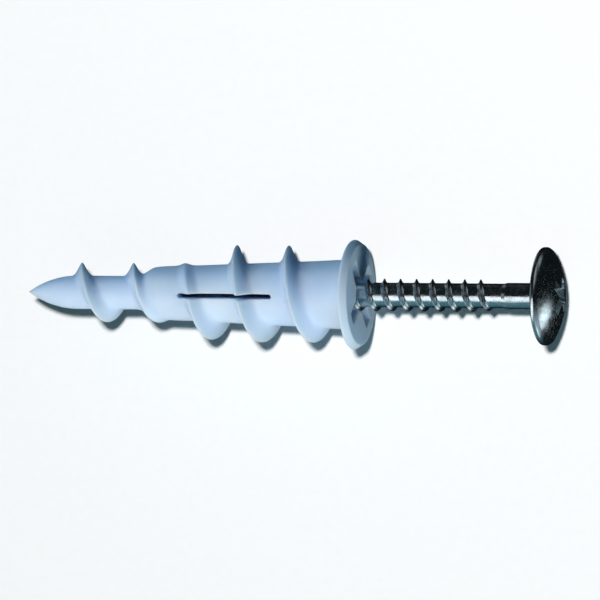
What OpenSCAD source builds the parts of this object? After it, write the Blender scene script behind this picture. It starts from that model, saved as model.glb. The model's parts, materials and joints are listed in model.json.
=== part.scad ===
// Self-drilling plasterboard anchor with its screw started in the bore.
// Both pieces share one axis. They are drawn along +X, head towards +X, with the
// origin at the centre of the flange's outer face, and then laid on their two rims.

/* [Anchor body] */
// Length from the drill point to the flange's outer face
anchor_l = 42.8; // [42:0.2:46]
// Diameter of the flange
flange_d = 13.4; // [13:0.1:16]
// Thickness of the flange's rim
flange_t = 1; // [0.8:0.1:1.4]
// Diameter of the body behind the flange
body_d = 8.6; // [8:0.1:9]
// Diameter of the body where it steps down to the drill
waist_d = 6.4; // [6.2:0.1:7]
// Length of the drill, from its point to the step
drill_l = 14.1; // [13:0.1:15]
// Diameter of the drill's core
drill_d = 4.1; // [3.6:0.1:4.6]

/* [Auger thread] */
// Advance of the thread in one turn
pitch = 6.66; // [6:0.02:7]
// Diameter over the thread on the body
auger_d = 11.9; // [11:0.1:12.4]
// Diameter over the thread on the drill
cutter_d = 7.3; // [7:0.1:8]
// Thickness of the thread at its foot
blade_foot = 2.2; // [1.8:0.1:2.6]
// Thickness of the thread half way up
blade_mid = 1.45; // [1.2:0.05:1.7]
// Thickness of the thread at its crest
blade_crest = 0.7; // [0.5:0.05:1]

/* [Slit and driver recess] */
// Length of the expansion slit
slit_l = 12.2; // [10:0.2:13]
// Width of the expansion slit
slit_w = 0.65; // [0.5:0.05:1]
// Span of the driver recess across the flange's face
cross_d = 9.4; // [8:0.2:10]
// Width of one arm of the driver recess
cross_w = 1.9; // [1.4:0.1:2.2]
// Turn of the driver recess about the axis
cross_turn = 35; // [0:5:90]

/* [Screw] */
// Diameter over the screw's thread
screw_d = 4; // [3.5:0.1:4.2]
// Length of the screw under its head
screw_l = 32; // [30:1:40]
// Advance of the screw's thread in one turn
screw_pitch = 2.05; // [1.6:0.05:2.2]
// Plain length between the head and the thread
neck_l = 4.6; // [3:0.2:6]
// Diameter of the head
head_d = 12; // [11:0.1:12.8]
// Height of the head
head_h = 2.4; // [2.3:0.1:3]
// How far the screw's point has gone into the anchor
started = 8.8; // [7:0.1:11]

/* [Hidden] */
$fn = 96;

// The flange's rim is bevelled towards its face, and hardly at all towards its back
flange_r = flange_d / 2;
face_bevel = 0.5;
face_bevel_l = 0.7;
back_bevel = 0.05;
flare_r = 1.6;
flare_sink = 0.2;
body_r = body_d / 2;
waist_r = waist_d / 2;
drill_r = drill_d / 2;
body_l = anchor_l - drill_l;
ogive_l = 6.4;
ogive_r = (ogive_l * ogive_l + drill_r * drill_r) / (2 * drill_r);
point_r = 0.12;
step_l = 2.6;
waist_x = step_l - body_l;

// The thread's turns are counted from the first crest at the top, near the point
first_crest_l = 6.95;
first_crest_x = first_crest_l - anchor_l;
// It rises over this length up to the first crest, swells from the cutter's to the
// auger's diameter beyond the waist, and runs out short of the flange's back
lead_in_l = 3;
swell_gap = 3.2;
swell_l = 4.35;
swell_x = waist_x + swell_gap;
run_out_l = 3;
run_out_gap = 1.9;
run_out_x = -flange_t - run_out_gap;
bar_lap = 0.5;

// The bore stops short of the step, and the slit starts a little above its end
bore_stop = 1.6;
bore_end_x = bore_stop - body_l;
slit_gap = 4.5;
slit_mid_x = bore_end_x + slit_gap + slit_l / 2;
cross_depth = 3.4;
cross_taper = 1.6;

screw_r = screw_d / 2;
thread_h = 0.5;
thread_foot = 0.7;
thread_crest = 0.14;
root_r = screw_r - thread_h;
neck_rise = 0.1;
neck_r = root_r + neck_rise;
neck_sink = 0.2;
neck_lap = 1;
point_l = 3.6;
thread_fade_l = 2;
out_l = screw_l - started;
thread_end_x = out_l - neck_l;
head_r = head_d / 2;
rim_h = 0.7;
rim_round = 0.15;
dome_h = head_h - rim_h;
dome_r = (head_r * head_r + dome_h * dome_h) / (2 * dome_h);
neck_fillet = 0.4;
driver_d = 5;
driver_end_d = 2.5;
driver_w = 1.3;
driver_depth = 1.8;
driver_turn = 50;

// The entry clears the screw's thread, and the point's shoulder seats in the taper
entry_gap = 0.1;
entry_r = screw_r + entry_gap;
pilot_bite = 0.26;
pilot_r = root_r - pilot_bite;
seat_x = point_l - started;
seat_slope = 0.19;
taper_x = seat_x + entry_gap / seat_slope;
pilot_x = taper_x - (entry_r - pilot_r) / seat_slope;

// The rims rest in the middle of a facet when their surfaces are split up: about 82
// facets round the flange and 77 round the head
flange_turn = 2.2;
head_turn = 2.34;

// The flange and the head rest on one plane, so the axis leans down to the smaller
lean = atan((flange_r - head_r) / (out_l + rim_h + face_bevel_l));

// Points of an arc about [x, r], given as [r, x] pairs for a turned outline
function arc(x, r, radius, from, to, steps) =
    [for (i = [0:steps]) let (a = from + (to - from) * i / steps)
        [r + radius * sin(a), x + radius * cos(a)]];

// A smooth rise from 0 to 1 as t goes from a to b
function ease(a, b, t) = let (u = min(1, max(0, (t - a) / (b - a)))) u * u * (3 - 2 * u);

// Radius of the anchor's core along the axis: drill, step and tapered body
function core_r(x) = x > waist_x
    ? waist_r + (body_r - waist_r) * (x - waist_x) / -waist_x
    : drill_r + (waist_r - drill_r) * ease(-body_l, waist_x, x);

// The same with the drill's point, whose sides are arcs
function anchor_r(x) = let (d = max(0, ogive_l - anchor_l - x))
    max(point_r, core_r(x) - ogive_r + sqrt(ogive_r * ogive_r - d * d));

// Height of the auger at a turn: faded in, narrow on the drill, then full
function auger_h(t) =
    let (x = first_crest_x + pitch * t, swell = ease(swell_x, swell_x + swell_l, x))
    let (full = (cutter_d + (auger_d - cutter_d) * swell) / 2)
    let (rise = ease(first_crest_x - lead_in_l, first_crest_x, x))
    (full - core_r(x)) * rise * (1 - ease(run_out_x - run_out_l, run_out_x, x));

// Radius of the screw's core and height of its thread, both narrowing to the point
function in_point(x) = min(1, max(0, (x + started) / point_l));
function shank_r(x) = point_r + (root_r - point_r) * in_point(x);
function ridge_h(t) = let (x = seat_x + screw_pitch * t)
    thread_h * in_point(x - thread_h)
        * (1 - ease(thread_end_x - 1.5 * thread_fade_l, thread_end_x - 0.5 * thread_fade_l, x));

// A solid of revolution about the X axis, from an outline of [r, x] pairs. Its surface
// starts underneath, or the stated turn away from there.
module turned(outline, turn = 0) {
    rotate([turn, 0, 0]) rotate([0, 90, 0]) rotate_extrude() polygon(outline);
}

// Lays a piece drawn along +X on the flange's and the head's rims
module lying() {
    rotate([0, lean, 0]) children();
}

// A cross-shaped driver socket that opens at x = 0 and narrows towards -X
module driver_socket(span, width, depth, end_span, turn) {
    rotate([turn, 0, 0]) intersection() {
        union() {
            cube([2 * depth, width, span + 2], center = true);
            cube([2 * depth, span + 2, width], center = true);
        }
        turned([[0, -depth], [end_span / 2, -depth], [span / 2, 0],
            [span / 2, depth], [0, depth]]);
    }
}

// A round bar from x0 to x1 with one right-hand thread raised on it, as one skin.
// start is where the crest stands at the top on turn 0, and profile is the thread's
// section as [place in turns, share of the height] pairs over one advance. Rows run
// along the thread, and their ends are held at x0 and x1, where the thread is flat.
module threaded_bar(x0, x1, start, advance, steps, profile, core, height) {
    n = len(profile);
    turn0 = floor((x0 - start) / advance) - 2;
    turn1 = ceil((x1 - start) / advance) + 2;
    rows = (turn1 - turn0) * n;
    points = [for (q = [0:rows], j = [0:steps - 1])
        let (turn = turn0 + floor(q / n) + j / steps, p = profile[q % n])
        let (x = min(x1, max(x0, start + advance * (turn + p[0]))), c = core(x))
        let (r = c + p[1] * height(turn))
            [x, r * cos(360 * j / steps), r * sin(360 * j / steps)]];
    // Row q meets row q + n after a whole turn round the bar
    corner = function (q, j) j < steps ? q * steps + j : (q + n) * steps;
    quads = [for (q = [0:rows - n - 1], j = [0:steps - 1])
        [corner(q, j), corner(q, j + 1), corner(q + 1, j + 1), corner(q + 1, j)]];
    whole = function (f) points[f[0]] != points[f[1]] && points[f[1]] != points[f[2]]
        && points[f[2]] != points[f[0]];
    polyhedron(points, convexity = 10, faces = concat(
        [[for (j = [0:steps - 1]) j], [for (j = [steps - 1:-1:0]) rows * steps + j]],
        [for (f = quads) if (whole([f[0], f[3], f[1]])) [f[0], f[3], f[1]]],
        [for (f = quads) if (whole([f[1], f[3], f[2]])) [f[1], f[3], f[2]]]));
}

// Drill point, core, step and body, with the auger's blade swept round them
module auger() {
    foot = blade_foot / pitch / 2;
    mid = blade_mid / pitch / 2;
    crest = blade_crest / pitch / 2;
    gap = 1 - 2 * foot;
    threaded_bar(-anchor_l, -flange_t - bar_lap, first_crest_x, pitch, 32, concat(
        [[-foot, 0], [-mid, 0.5], [-crest, 0.9], [-0.4 * crest, 1]],
        [[0.4 * crest, 1], [crest, 0.9], [mid, 0.5]],
        [for (i = [0:5]) [foot + gap * i / 6, 0]]),
        function (x) anchor_r(x), function (t) auger_h(t));
}

// Flared collar and flange, with the collar's foot sunk in the body
module flange() {
    turned(concat([[0, -flange_t - flare_r - flare_sink]],
        arc(-flange_t - flare_r, body_r - flare_sink + flare_r, flare_r, -90, 0, 8),
        [[flange_r - back_bevel, -flange_t], [flange_r, back_bevel - flange_t]],
        [[flange_r, -face_bevel_l], [flange_r - face_bevel, 0], [0, 0]]), flange_turn);
}

// Entry, taper and pilot, drilled to just short of the step
module bore() {
    turned([[0, 1], [entry_r, 1], [entry_r, taper_x], [pilot_r, pilot_x],
        [pilot_r, bore_end_x + pilot_r], [0, bore_end_x]]);
}

// A slot with round ends, through both legs and the thread on them
module slit() {
    translate([slit_mid_x, 0, 0]) linear_extrude(height = auger_d + 2, center = true)
        union() {
            square([slit_l - slit_w, slit_w], center = true);
            for (end = [-1, 1]) translate([end * (slit_l - slit_w) / 2, 0])
                circle(d = slit_w);
        }
}

module anchor() {
    color([0.8, 0.86, 0.96]) lying() difference() {
        union() {
            auger();
            flange();
        }
        bore();
        slit();
        driver_socket(cross_d, cross_w, cross_depth, cross_d - 2 * cross_taper, cross_turn);
    }
}

// Point and rolled thread, up to the plain neck
module screw_thread() {
    foot = thread_foot / screw_pitch / 2;
    crest = thread_crest / screw_pitch / 2;
    threaded_bar(-started, thread_end_x, seat_x, screw_pitch, 20,
        [[-foot, 0], [-crest, 1], [crest, 1], [foot, 0], [0.5, 0]],
        function (x) shank_r(x), function (t) ridge_h(t));
}

// Plain neck, a fillet, and a flat-bottomed head with a thin rim under a shallow dome
module neck_and_head() {
    dome_a = asin(head_r / dome_r);
    turned(concat(
        [[0, thread_end_x - neck_lap], [root_r - neck_sink, thread_end_x - neck_lap]],
        [[neck_r, thread_end_x + neck_rise]],
        arc(out_l - neck_fillet, neck_r + neck_fillet, neck_fillet, -90, 0, 4),
        [[head_r - rim_round, out_l], [head_r, out_l + rim_round]],
        arc(out_l + head_h - dome_r, 0, dome_r, dome_a, 0, 10)), head_turn);
}

module screw() {
    color([0.7, 0.75, 0.78]) lying() difference() {
        union() {
            screw_thread();
            neck_and_head();
        }
        translate([out_l + head_h, 0, 0])
            driver_socket(driver_d, driver_w, driver_depth, driver_end_d, driver_turn);
    }
}

anchor();
screw();
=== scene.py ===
import json
import math
from functools import reduce

import bmesh
import bpy
from mathutils import Matrix, Vector


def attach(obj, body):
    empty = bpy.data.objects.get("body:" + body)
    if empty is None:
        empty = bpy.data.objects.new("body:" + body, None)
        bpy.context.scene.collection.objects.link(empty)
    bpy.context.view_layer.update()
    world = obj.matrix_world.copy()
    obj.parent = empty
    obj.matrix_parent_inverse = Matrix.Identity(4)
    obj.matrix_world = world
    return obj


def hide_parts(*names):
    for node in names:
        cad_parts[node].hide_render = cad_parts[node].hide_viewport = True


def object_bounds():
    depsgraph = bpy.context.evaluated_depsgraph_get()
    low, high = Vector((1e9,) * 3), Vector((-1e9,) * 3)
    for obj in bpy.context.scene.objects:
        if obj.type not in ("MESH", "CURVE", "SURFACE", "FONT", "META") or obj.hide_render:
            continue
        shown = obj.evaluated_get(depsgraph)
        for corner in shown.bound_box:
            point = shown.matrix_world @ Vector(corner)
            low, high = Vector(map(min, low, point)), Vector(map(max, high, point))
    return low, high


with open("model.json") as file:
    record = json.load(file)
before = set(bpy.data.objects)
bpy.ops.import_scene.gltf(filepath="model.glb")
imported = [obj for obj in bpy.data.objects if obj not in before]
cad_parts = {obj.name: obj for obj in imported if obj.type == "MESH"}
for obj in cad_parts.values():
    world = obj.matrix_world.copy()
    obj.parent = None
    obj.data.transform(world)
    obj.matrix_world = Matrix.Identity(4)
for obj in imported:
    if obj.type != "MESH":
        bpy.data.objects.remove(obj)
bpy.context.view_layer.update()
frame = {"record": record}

# Anchor: one shot of pale blue-white nylon with the drill point, the auger thread, the
# tapered body with its expansion slit, and the flange with its driver recess. It is
# moulded over a core pin that leaves the bore, and it rests on its flange's rim.
MM = 0.001
mounts = {mount["name"]: mount for mount in frame["record"]["mounts"]}
away = Vector(mounts["flange_face"]["axis"])
flange_t = Vector(mounts["flange_back"]["pos_m"]).length / MM
tip_x = -flange_t - mounts["board_hole"]["dims"]["length_mm"]
blade_r = mounts["board_hole"]["dims"]["r_mm"]
# The pieces are shaped along +X in millimetres and then laid on their two rims
laid = Matrix.Rotation(math.atan2(-away.z, away.x), 4, "Y") @ Matrix.Scale(MM, 4)

drill_r, waist_r, body_r, flange_r = 2.05, 3.2, 4.3, 6.7
point_l = 6.4
step_from, step_to = tip_x + 14.1, tip_x + 16.7
core_end = -0.45
first_crest, lead = tip_x + 6.95, 6.66
cutter_r = 3.65


def made(piece):
    """The mesh that a piece's modifiers give, with the modifiers then removed."""
    bpy.context.view_layer.update()
    result = piece.evaluated_get(bpy.context.evaluated_depsgraph_get())
    mesh = bpy.data.meshes.new_from_object(result)
    piece.modifiers.clear()
    return mesh


def sampled(curve, points):
    """Puts (0 to 1, 0 to 1) points on a float curve in place of its own."""
    line = curve.mapping.curves[0]
    curve.mapping.use_clip = False
    while len(line.points) > 2:
        line.points.remove(line.points[1])
    for knot, (x, y) in zip((line.points[0], line.points[-1]), (points[0], points[-1])):
        knot.location = (x, y)
    for x, y in points[1:-1]:
        line.points.new(x, y)
    for knot in line.points:
        knot.handle_type = "AUTO_CLAMPED"
    curve.mapping.update()


def threaded_skin(name, sizes, section, core, crest, material):
    """A closed round bar with one right-hand thread, as a Geometry Nodes result.

    A grid is wrapped round the axis with its rows along the thread. Section has the
    thread's (distance from the crest, height) points, both as shares, core has the bar's
    (x, radius) points, and crest has the thread's (turns from first crest, radius).
    """
    full_r = 10.0  # the radius that the curves' values are shares of
    crowding = 0.78  # how far the rows draw together round the crest
    weld, speck = 1e-5, 1e-6  # vertices this close are one, edges this short are none
    closed_l = 0.02  # the length at the point that is drawn into one vertex
    start, end = sizes["From"], sizes["To"]
    first_turn = math.floor((start - sizes["First crest"]) / sizes["Lead"]) - 2
    turns = math.ceil((end - sizes["First crest"]) / sizes["Lead"]) + 2 - first_turn
    sizes = {**sizes, "First turn": first_turn, "Turns": turns}
    core = [((x - start) / (end - start), r / full_r) for x, r in core]
    crest = [((turn - first_turn) / turns, r / full_r) for turn, r in crest]
    crest = [(0.0, 0.0), *crest, (1.0, 0.0)]

    tree = bpy.data.node_groups.new(name + "_skin", "GeometryNodeTree")
    tree.is_modifier = True
    tree.interface.new_socket("Skin", in_out="OUTPUT", socket_type="NodeSocketGeometry")
    for label, value in sizes.items():
        kind = "NodeSocketInt" if isinstance(value, int) else "NodeSocketFloat"
        tree.interface.new_socket(label, in_out="INPUT", socket_type=kind)
    given = tree.nodes.new("NodeGroupInput").outputs

    def maths(operation, *values):
        node = tree.nodes.new("ShaderNodeMath")
        node.operation = operation
        for socket, value in zip(node.inputs, values):
            if isinstance(value, (int, float)):
                socket.default_value = value
            else:
                tree.links.new(value, socket)
        return node.outputs[0]

    def shaped(points, value):
        node = tree.nodes.new("ShaderNodeFloatCurve")
        sampled(node, points)
        tree.links.new(value, node.inputs["Value"])
        return node.outputs[0]

    grid = tree.nodes.new("GeometryNodeMeshGrid")
    rows = maths("MULTIPLY_ADD", given["Turns"], given["Rows in a turn"], 1)
    steps = maths("ADD", given["Steps round"], 1)
    tree.links.new(rows, grid.inputs["Vertices X"])
    tree.links.new(steps, grid.inputs["Vertices Y"])
    position = tree.nodes.new("GeometryNodeInputPosition")
    split = tree.nodes.new("ShaderNodeSeparateXYZ")
    tree.links.new(position.outputs[0], split.inputs[0])
    along = maths("MULTIPLY_ADD", maths("ADD", split.outputs["X"], 0.5),
                  given["Turns"], given["First turn"])
    round_ = maths("ADD", split.outputs["Y"], 0.5)
    # Row q meets row q + 1 turn once it has gone round the bar
    wave = maths("SINE", maths("MULTIPLY", along, 2 * math.pi))
    crowded = maths("MULTIPLY_ADD", wave, -crowding / (2 * math.pi), along)
    nearest = maths("ROUND", along)
    x = maths("MULTIPLY_ADD", maths("ADD", crowded, round_), given["Lead"],
              given["First crest"])
    x = maths("MINIMUM", maths("MAXIMUM", x, given["From"]), given["To"])
    length = maths("SUBTRACT", given["To"], given["From"])
    share = maths("DIVIDE", maths("SUBTRACT", x, given["From"]), length)
    off = maths("MULTIPLY", maths("SUBTRACT", crowded, nearest), given["Lead"])
    ahead = maths("DIVIDE", off, given["Width ahead"])
    behind = maths("DIVIDE", off, maths("MULTIPLY", given["Width behind"], -1))
    height = shaped(section, maths("MINIMUM", maths("MAXIMUM", ahead, behind), 1))
    core_r = maths("MULTIPLY", shaped(core, share), full_r)
    turn = maths("ADD", nearest, round_)
    turn = maths("DIVIDE", maths("SUBTRACT", turn, given["First turn"]), given["Turns"])
    crest_at = maths("MULTIPLY", shaped(crest, turn), full_r)
    raised = maths("MAXIMUM", maths("SUBTRACT", crest_at, core_r), 0)
    radius = maths("MULTIPLY_ADD", height, raised, core_r)
    angle = maths("MULTIPLY", round_, 2 * math.pi)
    joined = tree.nodes.new("ShaderNodeCombineXYZ")
    tree.links.new(x, joined.inputs["X"])
    tree.links.new(maths("MULTIPLY", radius, maths("COSINE", angle)), joined.inputs["Y"])
    tree.links.new(maths("MULTIPLY", radius, maths("SINE", angle)), joined.inputs["Z"])
    chain = [grid.outputs["Mesh"]]

    def then(kind, **values):
        node = tree.nodes.new(kind)
        tree.links.new(chain[-1], node.inputs[0])
        for label, value in values.items():
            node.inputs[label].default_value = value
        chain.append(node.outputs[0])
        return node

    moved = then("GeometryNodeSetPosition")
    tree.links.new(joined.outputs[0], moved.inputs["Position"])
    then("GeometryNodeMergeByDistance", Distance=weld)
    then("GeometryNodeRealizeInstances")
    then("GeometryNodeSetMaterial", Material=material)
    out = tree.nodes.new("NodeGroupOutput")
    tree.links.new(chain[-1], out.inputs[0])

    shell = bpy.data.objects.new(name, bpy.data.meshes.new(name))
    bpy.context.scene.collection.objects.link(shell)
    modifier = shell.modifiers.new("skin", "NODES")
    modifier.node_group = tree
    for item in tree.interface.items_tree:
        if item.in_out == "INPUT":
            modifier[item.identifier] = sizes[item.name]
    skin = made(shell)
    bm = bmesh.new()
    bm.from_mesh(skin)
    point = [vert for vert in bm.verts if vert.co.x < start + closed_l]
    bmesh.ops.pointmerge(bm, verts=point, merge_co=(start, 0, 0))
    bmesh.ops.dissolve_degenerate(bm, dist=speck, edges=bm.edges)
    bmesh.ops.recalc_face_normals(bm, faces=bm.faces)
    bm.to_mesh(skin)
    bm.free()
    shell.data = skin
    return shell


def solid(name, rings, closed_ends=False):
    """A closed object from rings of points, where a ring of one point is a pole."""
    bm = bmesh.new()
    loops = [[bm.verts.new(point) for point in ring] for ring in rings]
    for a, b in zip(loops, loops[1:]):
        count = max(len(a), len(b))
        for k in range(count):
            j = (k + 1) % count
            if len(a) == 1:
                bm.faces.new((a[0], b[j], b[k]))
            elif len(b) == 1:
                bm.faces.new((a[k], a[j], b[0]))
            else:
                bm.faces.new((a[k], a[j], b[j], b[k]))
    if closed_ends:
        bm.faces.new(loops[0])
        bm.faces.new(loops[-1])
    bmesh.ops.recalc_face_normals(bm, faces=bm.faces)
    mesh = bpy.data.meshes.new(name)
    bm.to_mesh(mesh)
    bm.free()
    piece = bpy.data.objects.new(name, mesh)
    bpy.context.scene.collection.objects.link(piece)
    return piece


def turned(name, outline, steps=160):
    """A solid of revolution about X from (x, radius) points that start and end at 0."""
    spokes = [(math.cos(2 * math.pi * k / steps), math.sin(2 * math.pi * k / steps))
              for k in range(steps)]
    return solid(name, [[(x, r * c, r * s) for c, s in spokes] if r > 0 else [(x, 0, 0)]
                        for x, r in outline])


def arc(x, y, radius, start, stop, count):
    """Points of an arc about (x, y), with angles from +X in degrees."""
    angles = [math.radians(start + (stop - start) * k / count) for k in range(count + 1)]
    return [(x + radius * math.cos(a), y + radius * math.sin(a)) for a in angles]


def cross_socket(name, levels, turn):
    """A cross-shaped driver socket through (x, span, arm width) levels."""
    end_r = 0.3
    rings = []
    for x, span, width in levels:
        half, inner_r = width / 2, 0.16 * width
        arm = (arc(half + inner_r, -half - inner_r, inner_r, 180, 90, 4)
               + arc(span / 2 - end_r, end_r - half, end_r, -90, 0, 5)
               + arc(span / 2 - end_r, half - end_r, end_r, 0, 90, 5))
        ring = []
        for k in range(4):
            a = math.radians(90 * k + turn)
            ring += [(x, u * math.cos(a) - v * math.sin(a),
                      u * math.sin(a) + v * math.cos(a)) for u, v in arm]
        rings.append(ring)
    return solid(name, rings, closed_ends=True)


def cut(piece, *tools):
    """Joins and cuts a piece with (operation, tool) pairs and keeps the result."""
    for operation, tool in tools:
        modifier = piece.modifiers.new(operation, "BOOLEAN")
        modifier.operation = operation
        modifier.solver = "EXACT"
        modifier.object = tool
    piece.data = made(piece)
    for _, tool in tools:
        bpy.data.objects.remove(tool)


def finished(piece, material):
    """Cleans a piece's mesh, lays it down in metres and gives it its material."""
    weld, crisp_from = 1e-4, math.radians(34)
    bm = bmesh.new()
    bm.from_mesh(piece.data)
    bmesh.ops.remove_doubles(bm, verts=bm.verts, dist=weld)
    bmesh.ops.dissolve_degenerate(bm, dist=weld, edges=bm.edges)
    bmesh.ops.recalc_face_normals(bm, faces=bm.faces)
    bm.to_mesh(piece.data)
    bm.free()
    piece.data.transform(laid)
    piece.data.materials.clear()
    piece.data.materials.append(material)
    for polygon in piece.data.polygons:
        polygon.material_index = 0
        polygon.use_smooth = True
    piece.data.set_sharp_from_angle(angle=crisp_from)


def shader(name):
    """A new node material with its tree, surface shader and coordinates."""
    material = bpy.data.materials.new(name)
    material.use_nodes = True
    tree = material.node_tree
    place = tree.nodes.new("ShaderNodeTexCoord")
    return material, tree, tree.nodes["Principled BSDF"], place


noise_span = (0.3, 0.7)


def grain(tree, place, scale, detail=3.0):
    """Noise on object coordinates, with its scale per metre, as a 0 to 1 socket."""
    noise = tree.nodes.new("ShaderNodeTexNoise")
    noise.inputs["Scale"].default_value = scale
    noise.inputs["Detail"].default_value = detail
    tree.links.new(place.outputs["Object"], noise.inputs["Vector"])
    return noise.outputs["Fac"]


def tinted(tree, value, dark, light, span=noise_span):
    """Two colours mixed over a span of values, by default the one that noise fills."""
    node = tree.nodes.new("ShaderNodeValToRGB")
    for stop, position, colour in zip(node.color_ramp.elements, span, (dark, light)):
        stop.position, stop.color = position, (*colour, 1)
    tree.links.new(value, node.inputs["Fac"])
    return node.outputs["Color"]


def ranged(tree, value, low, high):
    """Spreads noise over a range of numbers."""
    node = tree.nodes.new("ShaderNodeMapRange")
    labels = ("From Min", "From Max", "To Min", "To Max")
    for label, number in zip(labels, (*noise_span, low, high)):
        node.inputs[label].default_value = number
    tree.links.new(value, node.inputs["Value"])
    return node.outputs["Result"]


def bumped(tree, value, strength, distance, normal=None):
    """A bump of a height value, on top of another normal where one is given."""
    node = tree.nodes.new("ShaderNodeBump")
    node.inputs["Strength"].default_value = strength
    node.inputs["Distance"].default_value = distance
    tree.links.new(value, node.inputs["Height"])
    if normal is not None:
        tree.links.new(normal, node.inputs["Normal"])
    return node.outputs["Normal"]


# Satin nylon: a faint cloud of colour, moulded edges that are slightly round, the flow
# of the melt as soft lumps, and a fine grain from the mould's wall
nylon, tree, surface, place = shader("nylon")
cloud = grain(tree, place, 150)
tree.links.new(tinted(tree, cloud, (0.56, 0.71, 0.93), (0.64, 0.77, 0.95)),
               surface.inputs["Base Color"])
fine = grain(tree, place, 2600)
tree.links.new(ranged(tree, fine, 0.36, 0.5), surface.inputs["Roughness"])
soft_edge = tree.nodes.new("ShaderNodeBevel")
soft_edge.samples = 6
soft_edge.inputs["Radius"].default_value = 0.16 * MM
flow = grain(tree, place, 420, 2.0)
lumps = bumped(tree, flow, 0.25, 0.08 * MM, soft_edge.outputs["Normal"])
tree.links.new(bumped(tree, fine, 0.12, 0.03 * MM, lumps), surface.inputs["Normal"])
surface.inputs["Subsurface Weight"].default_value = 0.75
surface.inputs["Subsurface Radius"].default_value = (0.8, 0.9, 1.0)
surface.inputs["Subsurface Scale"].default_value = 1.6 * MM
surface.inputs["IOR"].default_value = 1.5


def core_radius(x):
    """The core under the blade: an arc at the point, the drill, a step, a slow taper."""
    if x < tip_x + point_l:
        point_arc = (point_l ** 2 + drill_r ** 2) / (2 * drill_r)
        gap = tip_x + point_l - x
        return drill_r - point_arc + math.sqrt(point_arc ** 2 - gap ** 2)
    if x < step_from:
        return drill_r
    if x < step_to:
        u = (x - step_from) / (step_to - step_from)
        return drill_r + (waist_r - drill_r) * u * u * (3 - 2 * u)
    return waist_r + (body_r - waist_r) * (x - step_to) / (core_end - step_to)


core_places = [tip_x + 0.2 * k * k for k in range(1, 6)]
core_places += [tip_x + point_l + 0.3, tip_x + 8, tip_x + 11, step_from]
core_places += [step_from + (step_to - step_from) * k / 8 for k in range(1, 9)]
core_places += [-20, -12, -6, core_end - 0.2]
core = [(tip_x, 0.0), *((x, core_radius(x)) for x in core_places), (core_end, 0.0)]
# The cutter turns on the drill, the full blade on the body, and its end at the flange
blade_crest = [(-0.75, 0.0), (-0.5, 1.2), (-0.3, 2.6), (-0.05, cutter_r),
               (0.3, cutter_r), (1.0, cutter_r), (1.9, cutter_r), (2.2, 4.4), (2.5, 5.7),
               (2.75, blade_r), (3.2, blade_r), (4.4, blade_r), (4.6, 5.6), (4.8, 4.6),
               (4.95, 3.9)]
blade = [(0.0, 1.0), (0.08, 0.965), (0.25, 0.77), (0.5, 0.42), (0.75, 0.135), (1.0, 0.0)]
anchor = threaded_skin(
    "anchor_nylon",
    {"From": tip_x, "To": core_end, "First crest": first_crest, "Lead": lead,
     "Rows in a turn": 36, "Steps round": 120, "Width ahead": 1.35, "Width behind": 1.2},
    blade, core, blade_crest, nylon)

# The flange: a disc on a hub inside the core, flared behind and bevelled to its face
hub_x, hub_r = -3.5, body_r - 0.4
flare_r, flare_sink = 1.65, 0.3
edge_r = 0.12
face_bevel, face_bevel_l = 0.5, 0.8
flange = turned("flange", [(hub_x, 0), (hub_x, hub_r)]
                + arc(-flange_t - flare_r, body_r - flare_sink + flare_r, flare_r,
                      270, 360, 14)[1:]
                + arc(-flange_t + edge_r, flange_r - edge_r, edge_r, 180, 90, 5)
                + arc(-face_bevel_l, flange_r - edge_r, edge_r, 90, 40, 4)
                + arc(-edge_r, flange_r - face_bevel - edge_r / 2, edge_r, 40, 0, 4)
                + [(0, 0)])

# The bore: an eased mouth, the entry, a taper and the pilot, with the cutter's end well
# in front of the face
mouth_r, entry_r, pilot_r = 2.16, 2.1, 1.24
taper_from, taper_to, bore_end = -4.67, -9.2, -27.1
bore = turned("bore", [(1, 0), (1, 2.3), (0.05, mouth_r), (-0.2, entry_r),
                       (taper_from, entry_r), (taper_to, pilot_r),
                       (bore_end + pilot_r, pilot_r), (bore_end, 0)], 96)

# The slit goes right through and leaves two legs; the driver recess narrows inwards
slit_from, slit_to, slit_end_r, slit_reach = -22.6, -10.4, 0.31, 8
slit_outline = (arc(slit_to - slit_end_r, 0, slit_end_r, -90, 90, 12)
                + arc(slit_from + slit_end_r, 0, slit_end_r, 90, 270, 12))
slit = solid("slit", [[(x, y, z) for x, y in slit_outline]
                      for z in (-slit_reach, slit_reach)], closed_ends=True)
recess_turn = 35
recess = cross_socket("recess", [(0.6, 9.5, 1.98), (0, 9.4, 1.9), (-1.7, 7.8, 1.8),
                                 (-3.4, 6.2, 1.7)], recess_turn)
cut(anchor, ("UNION", flange), ("DIFFERENCE", bore), ("DIFFERENCE", slit),
    ("DIFFERENCE", recess))
finished(anchor, nylon)
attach(anchor, "root")
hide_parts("anchor")

# Screw: cold-headed and thread-rolled steel wire, bright zinc plated, with a plain neck
# and a wide low head. Its point and first threads are started in the anchor's bore, and
# its head's rim rests on the ground.
out_x = Vector(mounts["head_seat"]["pos_m"]).length / MM
top_x = Vector(mounts["head_drive"]["pos_m"]).length / MM
screw_l, neck_l, taper_l = 32, 4.6, 3.6
in_x = out_x - screw_l
full_x = in_x + taper_l
thread_end = out_x - neck_l
bar_end = thread_end + 0.5
head_r, neck_r, root_r, crest_r = 6.0, 1.6, 1.5, 2.0
screw_lead = 2.05

# Bright zinc: a haze of lighter and darker grey, small dents from tumbling in the
# plating barrel, and a finer rub
steel, tree, surface, place = shader("steel")
haze = grain(tree, place, 500)
tree.links.new(tinted(tree, haze, (0.52, 0.6, 0.63), (0.68, 0.73, 0.75)),
               surface.inputs["Base Color"])
rub = grain(tree, place, 1500, 4.0)
tree.links.new(ranged(tree, rub, 0.14, 0.3), surface.inputs["Roughness"])
dents = bumped(tree, grain(tree, place, 700, 2.0), 0.35, 0.06 * MM)
tree.links.new(bumped(tree, rub, 0.15, 0.03 * MM, dents), surface.inputs["Normal"])
surface.inputs["Metallic"].default_value = 1.0

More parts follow.
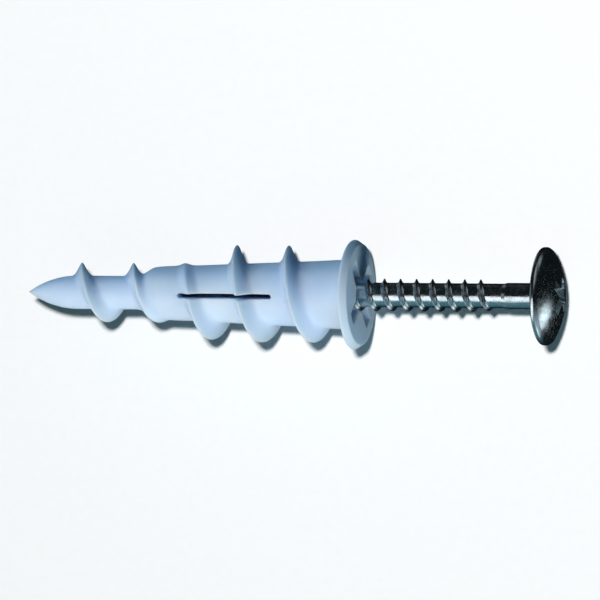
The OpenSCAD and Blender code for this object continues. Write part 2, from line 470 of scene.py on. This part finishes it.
bar = [(in_x, 0.0), (in_x + 0.15, 0.14), (full_x, root_r), (full_x + 0.6, root_r),
       (thread_end - 0.6, root_r), (bar_end - 0.15, root_r), (bar_end, 0.0)]
# The ridge rises along the point, keeps its height and runs out before the neck
last = (thread_end - full_x) / screw_lead
ridge_crest = [(-1.6, 0.15), (0.1, crest_r), (1.0, crest_r), (last - 1.6, crest_r),
               (last - 1.1, 1.85), (last - 0.7, 1.55), (last - 0.5, 1.4)]
ridge = [(0.0, 1.0), (0.08, 0.98), (0.18, 0.84), (0.55, 0.32), (0.82, 0.06), (1.0, 0.0)]
screw = threaded_skin(
    "screw_steel",
    {"From": in_x, "To": bar_end, "First crest": full_x, "Lead": screw_lead,
     "Rows in a turn": 28, "Steps round": 64, "Width ahead": 0.38, "Width behind": 0.38},
    ridge, bar, ridge_crest, steel)

# The neck and the head, a low dome on an upright rim, turned as one from inside the bar
rim_h = 0.7
under_r, seat_r, brim_r = 0.4, 0.2, 0.25
dome_h = top_x - out_x - rim_h
dome_r = (head_r ** 2 + dome_h ** 2) / (2 * dome_h)
dome_a = math.degrees(math.asin(head_r / dome_r))
head = turned("head", [(thread_end - 0.9, 0), (thread_end - 0.9, root_r - 0.2),
                       (thread_end - 0.5, root_r - 0.05), (thread_end + 0.1, neck_r),
                       (thread_end + 0.2, neck_r), (out_x - 0.7, neck_r)]
              + arc(out_x - under_r, neck_r + under_r, under_r, 270, 360, 6)
              + arc(out_x + seat_r, head_r - seat_r, seat_r, 180, 90, 6)
              + arc(out_x + rim_h - brim_r, head_r - brim_r, brim_r, 90, 45, 4)
              + arc(top_x - dome_r, 0, dome_r, dome_a - 1.2, 0, 22))
socket_turn = 50
socket = cross_socket("socket", [(top_x + 0.5, 5.2, 1.4), (top_x - 0.28, 5.0, 1.3),
                                 (top_x - 1.3, 3.4, 1.15), (top_x - 1.8, 2.4, 1.0)],
                      socket_turn)
cut(screw, ("UNION", head), ("DIFFERENCE", socket))
finished(screw, steel)
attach(screw, "root")
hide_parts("screw")

# Ground: a sheet of white paper under the two rims. It takes the shadow, and it gives no
# light to the part and isn't mirrored in the steel, which has dark surroundings.
floor_half, floor_z = 2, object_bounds()[0][2]
floor_mesh = bpy.data.meshes.new("floor")
floor_mesh.from_pydata([(-floor_half, -floor_half, 0), (floor_half, -floor_half, 0),
                        (floor_half, floor_half, 0), (-floor_half, floor_half, 0)],
                       [], [(0, 1, 2, 3)])
floor_mesh.transform(Matrix.Translation((0, 0, floor_z)))
floor = bpy.data.objects.new("floor", floor_mesh)
bpy.context.scene.collection.objects.link(floor)
paper, tree, surface, place = shader("paper")
tree.links.new(tinted(tree, grain(tree, place, 900), (0.965,) * 3, (0.98,) * 3),
               surface.inputs["Base Color"])
surface.inputs["Roughness"].default_value = 0.9
surface.inputs["Specular IOR Level"].default_value = 0.0
floor.data.materials.append(paper)
floor.visible_glossy = False
floor.visible_diffuse = False

# Lamps: a small one overhead casts the shadow and lights the ground alone. The part has
# a warm key, a soft box that the steel mirrors, and cool fills from the top, the foot and
# the right of the picture. Directions are given on the part's own leaning axes.
lean = laid.to_3x3().normalized()


def group(name, *members):
    """A collection that names what a lamp lights."""
    lit = bpy.data.collections.new(name)
    for member in members:
        lit.objects.link(member)
    return lit


def lamp(name, lit, towards, far, size, level, colour, glossy=False):
    """An area lamp that gives a facing white surface the stated level."""
    light = bpy.data.lights.new(name, "AREA")
    light.shape = "RECTANGLE"
    light.size, light.size_y = size
    light.color = colour
    light.energy = level * math.pi ** 2 * far ** 2
    holder = bpy.data.objects.new(name, light)
    direction = lean @ Vector(towards).normalized()
    holder.matrix_world = (Matrix.Translation(direction * far)
                           @ direction.to_track_quat("Z", "Y").to_matrix().to_4x4())
    holder.visible_glossy = glossy
    holder.visible_camera = False
    holder.light_linking.receiver_collection = lit
    bpy.context.scene.collection.objects.link(holder)


ground = group("lit_ground", floor)
part = group("lit_pieces", anchor, screw)
lamp("ground_key", ground, (0.19, 0.215, 0.95), 1.0, (0.065, 0.065), 1.0, (1, 1, 1))
lamp("ground_fill", ground, (0, -0.5, 0.87), 0.6, (0.5, 0.5), 0.03, (0.6, 0.95, 1.0))
lamp("key", part, (-0.05, -0.5, 0.85), 0.5, (0.14, 0.14), 0.64, (1.0, 0.89, 0.81))
lamp("soft_box", part, (-0.3, -0.42, 0.85), 0.5, (0.2, 0.48), 0.18, (1, 1, 1), True)
lamp("top_fill", part, (-0.6, 0.7, 0.4), 0.6, (0.5, 0.3), 0.57, (0.56, 0.8, 1.0))
lamp("low_fill", part, (0.66, -0.74, 0.07), 0.6, (0.5, 0.4), 0.86, (0.86, 0.965, 1.0))
lamp("right_fill", part, (0.95, -0.1, 0.25), 0.6, (0.4, 0.4), 0.03, (0.2, 1.0, 1.0))

# Surroundings: nearly dark, with a dim cool side that lights the part a little. The soft
# bright patches are seen by glossy rays alone: two make the glints that the photograph
# shows, and the fainter ones give the steel something to mirror from the other sides.
world = bpy.data.worlds.new("surroundings")
bpy.context.scene.world = world
world.use_nodes = True
tree = world.node_tree
aim = tree.nodes.new("ShaderNodeTexCoord")


def glow(towards, near, far, dim, bright):
    """Light from one side: bright within near degrees of a direction, dim past far."""
    closeness = tree.nodes.new("ShaderNodeVectorMath")
    closeness.operation = "DOT_PRODUCT"
    closeness.inputs[1].default_value = lean @ Vector(towards).normalized()
    tree.links.new(aim.outputs["Generated"], closeness.inputs[0])
    fade = tree.nodes.new("ShaderNodeMapRange")
    fade.interpolation_type = "SMOOTHSTEP"
    fade.inputs["From Min"].default_value = math.cos(math.radians(far))
    fade.inputs["From Max"].default_value = math.cos(math.radians(near))
    tree.links.new(closeness.outputs["Value"], fade.inputs["Value"])
    return tinted(tree, fade.outputs["Result"], dim, bright, (0.0, 1.0))


def added(a, b):
    """The sum of two colours."""
    node = tree.nodes.new("ShaderNodeVectorMath")
    node.operation = "ADD"
    tree.links.new(a, node.inputs[0])
    tree.links.new(b, node.inputs[1])
    return node.outputs[0]


cool_side = glow((0, -0.95, 0.3), 10, 68, (0.006, 0.009, 0.01), (0.08, 0.2, 0.25))
patches = [((0.8, -0.31, -0.52), 4, 12, (1.6, 1.8, 1.9)),
           ((0.4, -0.91, -0.05), 6, 20, (1.0, 1.15, 1.2))]
for towards, near, far, level in (((0.42, 0.75, 0.48), 9, 38, 0.38),
                                  ((0.62, 0.72, -0.34), 5, 20, 0.25),
                                  ((-0.72, 0.15, 0.68), 8, 24, 0.32),
                                  ((-0.72, 0.62, -0.3), 10, 30, 0.35),
                                  ((-0.75, -0.65, -0.2), 10, 28, 0.4),
                                  ((0.25, -0.9, 0.35), 10, 32, 0.4),
                                  ((0.75, -0.6, 0.25), 8, 25, 0.2),
                                  ((0.8, -0.57, -0.2), 8, 24, 0.4)):
    patches.append((towards, near, far, (0.92 * level, level, 1.08 * level)))
mirrored = reduce(added, [glow(towards, near, far, (0, 0, 0), colour)
                          for towards, near, far, colour in patches])
shown = tree.nodes.new("ShaderNodeVectorMath")
shown.operation = "SCALE"
tree.links.new(mirrored, shown.inputs[0])
ray = tree.nodes.new("ShaderNodeLightPath")
tree.links.new(ray.outputs["Is Glossy Ray"], shown.inputs["Scale"])
background = tree.nodes["Background"]
tree.links.new(added(cool_side, shown.outputs[0]), background.inputs["Color"])
background.inputs["Strength"].default_value = 1.0

# Camera: a long lens that looks down on the part from 17.5 degrees towards the head, so
# that the flange's face shows, and 5.5 degrees towards the picture's top. The middle of
# the picture lies between the flange and the slit, a little in front of the axis.
yaw, roll, tip = math.radians(17.5), math.radians(5.5), math.radians(1.2)
target, distance = lean @ (Vector((-7.87, -0.72, 0)) * MM), 2.04
back = lean @ Vector((math.sin(yaw), math.cos(yaw) * math.sin(roll),
                      math.cos(yaw) * math.cos(roll)))
up = lean @ Vector((math.sin(tip), math.cos(tip), 0))
right = up.cross(back).normalized()
up = back.cross(right).normalized()
lens = bpy.data.cameras.new("camera")
lens.lens, lens.sensor_width = 1000, 36
lens.clip_start, lens.clip_end = 0.1, 10
camera = bpy.data.objects.new("camera", lens)
camera.matrix_world = (Matrix.Translation(target + back * distance)
                       @ Matrix((right, up, back)).transposed().to_4x4())
bpy.context.scene.collection.objects.link(camera)
bpy.context.scene.camera = camera
bpy.context.scene.view_settings.view_transform = "Standard"
